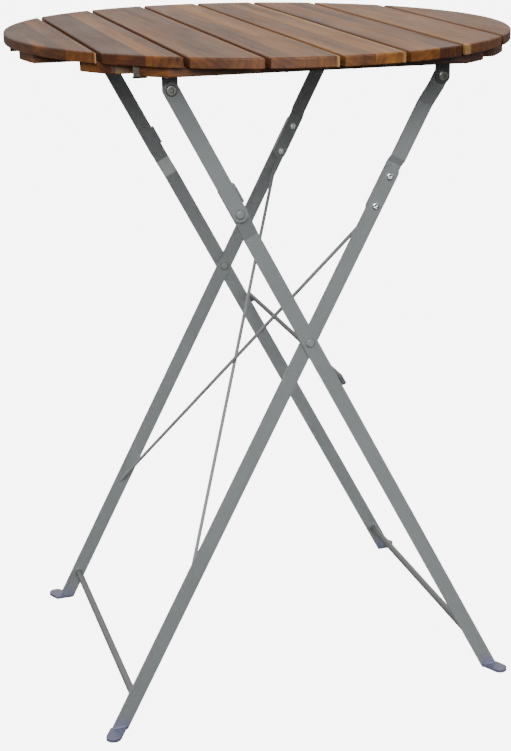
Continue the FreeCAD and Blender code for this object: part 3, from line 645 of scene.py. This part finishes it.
def camera():
    """Camera at the photograph's angle, a little above the top and to the left, with its off-centre crop."""
    place = Vector((-0.74222, -2.49371, 1.37808))
    yaw, pitch, roll = math.radians(-19.005), math.radians(-17.837), math.radians(-0.129)
    forward = Vector((-math.sin(yaw) * math.cos(pitch), math.cos(yaw) * math.cos(pitch), math.sin(pitch)))
    right = forward.cross(Vector((0, 0, 1))).normalized()
    up = right.cross(forward)
    right, up = math.cos(roll) * right + math.sin(roll) * up, -math.sin(roll) * right + math.cos(roll) * up
    data = bpy.data.cameras.new("camera")
    data.sensor_width = 36
    data.lens = 75.06
    data.shift_x = -0.0949
    data.shift_y = -0.0330
    item = bpy.data.objects.new("camera", data)
    scene.collection.objects.link(item)
    item.matrix_world = Matrix.Translation(place) @ Matrix((right, up, -forward)).transposed().to_4x4()
    scene.camera = item


FLOOR_LEVEL = -0.0006
FLOOR_MIDDLE = 3
FLOOR_RADIUS = 22
FLOOR_TURNS = 96
WALL_HIGH = 16
COVE_RADIUS = 8
COVE_STEPS = 12


def studio_floor():
    """White floor that curves up into a wall all round, kept out of the object's own light."""
    profile = [(0, 0), (FLOOR_MIDDLE, 0), (FLOOR_RADIUS - COVE_RADIUS, 0)]
    for step in range(1, COVE_STEPS + 1):
        angle = math.radians(90 * step / COVE_STEPS)
        profile.append((FLOOR_RADIUS - COVE_RADIUS + COVE_RADIUS * math.sin(angle),
                        COVE_RADIUS * (1 - math.cos(angle))))
    profile.append((FLOOR_RADIUS, WALL_HIGH))
    build = bmesh.new()
    loops = []
    for reach, rise in profile:
        if reach == 0:
            loops.append([build.verts.new((0, 0, FLOOR_LEVEL))])
            continue
        angles = [2 * math.pi * k / FLOOR_TURNS for k in range(FLOOR_TURNS)]
        loops.append([build.verts.new((reach * math.cos(angle), reach * math.sin(angle), FLOOR_LEVEL + rise))
                      for angle in angles])
    for inner, outer in zip(loops, loops[1:]):
        for k in range(FLOOR_TURNS):
            after = (k + 1) % FLOOR_TURNS
            if len(inner) == 1:
                build.faces.new((inner[0], outer[k], outer[after]))
            else:
                build.faces.new((inner[k], outer[k], outer[after], inner[after]))
    mesh = bpy.data.meshes.new("studio_floor")
    build.to_mesh(mesh)
    build.free()
    mesh.shade_smooth()
    floor = bpy.data.objects.new("studio_floor", mesh)
    scene.collection.objects.link(floor)
    graph = new_material("studio_white")
    where = graph.node("TexCoord").outputs["Object"]
    tone = graph.mix(graph.noise(where, 0.8, 2.0), (0.86, 0.86, 0.86), (0.90, 0.90, 0.90))
    mesh.materials.append(graph.finish(Base_Color=tone, Roughness=0.9, Emission_Color=(1, 1, 1),
                                       Emission_Strength=6.0))
    floor.visible_diffuse = False
    floor.visible_glossy = False
    floor.visible_shadow = False


# Brightness of the surroundings, from straight down at 0 to straight up at 1, and the colour at the rear.
SKY = ((0.0, 0.16), (0.44, 0.20), (0.52, 0.50), (0.60, 0.90), (1.0, 1.05))
SKY_BLUE = 1.02
WARM_REAR = (1.0, 0.940, 0.835)


def world_light():
    """Overcast surroundings: bright from above the horizon up, warm at the rear, dim below and in front."""
    world = bpy.data.worlds.new("surroundings")
    graph = Graph(world)
    where = graph.node("TexCoord").outputs["Generated"]
    _, rear, up = graph.node("SeparateXYZ", Vector=where).outputs
    sky = graph.ramp(graph.math("MULTIPLY_ADD", up, 0.5, 0.5),
                     [(place, (level, level, level * SKY_BLUE)) for place, level in SKY])
    warmth = graph.span(rear, -0.2, 0.9, way="LINEAR")
    colour = graph.mix(warmth, sky, WARM_REAR, blend="MULTIPLY")
    strength = graph.span(rear, -0.8, 0.8, 0.28, 1.45, way="LINEAR")
    back = graph.node("Background", Color=colour, Strength=strength)
    graph.node("OutputWorld", Surface=back.outputs[0])
    scene.world = world


def soft_light(name, place, aim, size, power, only_gloss=False, spread=180):
    """Round area light that points from a place to its aim. spread is in degrees."""
    data = bpy.data.lights.new(name, "AREA")
    data.shape = "DISK"
    data.size = size
    data.energy = power
    data.spread = math.radians(spread)
    item = bpy.data.objects.new(name, data)
    scene.collection.objects.link(item)
    item.location = place
    item.rotation_euler = (Vector(aim) - Vector(place)).to_track_quat("-Z", "Y").to_euler()
    item.visible_diffuse = not only_gloss


# ---------------------------------------------------------------- build

finish_wood()
for node in slots:
    if slots[node] == "oiled_wood":
        continue
    if node.startswith(FLAT_STEEL):
        eased_copy(node)
    elif node.startswith(("slat_screws", "bracket_screws")):
        recessed_copy(node)
    else:
        node_material(node, steel_material(node))
for rod in ("outer_foot_rod", "inner_foot_rod"):
    for place, side in SIDES.items():
        weld_bead(f"{rod}_bead_{place}", rod, side)

camera()
studio_floor()
world_light()
soft_light("key", place=(-1.3, -3.6, 2.75), aim=(0, 0, 0.6), size=2.2, power=128)
soft_light("fill", place=(0.9, -3.0, 0.5), aim=(0.25, 0.1, 0.15), size=1.0, power=0.5, spread=24)
soft_light("window", place=(0.0, -4.2, 2.25), aim=(0, 0, 0.8), size=2.0, power=110, only_gloss=True)
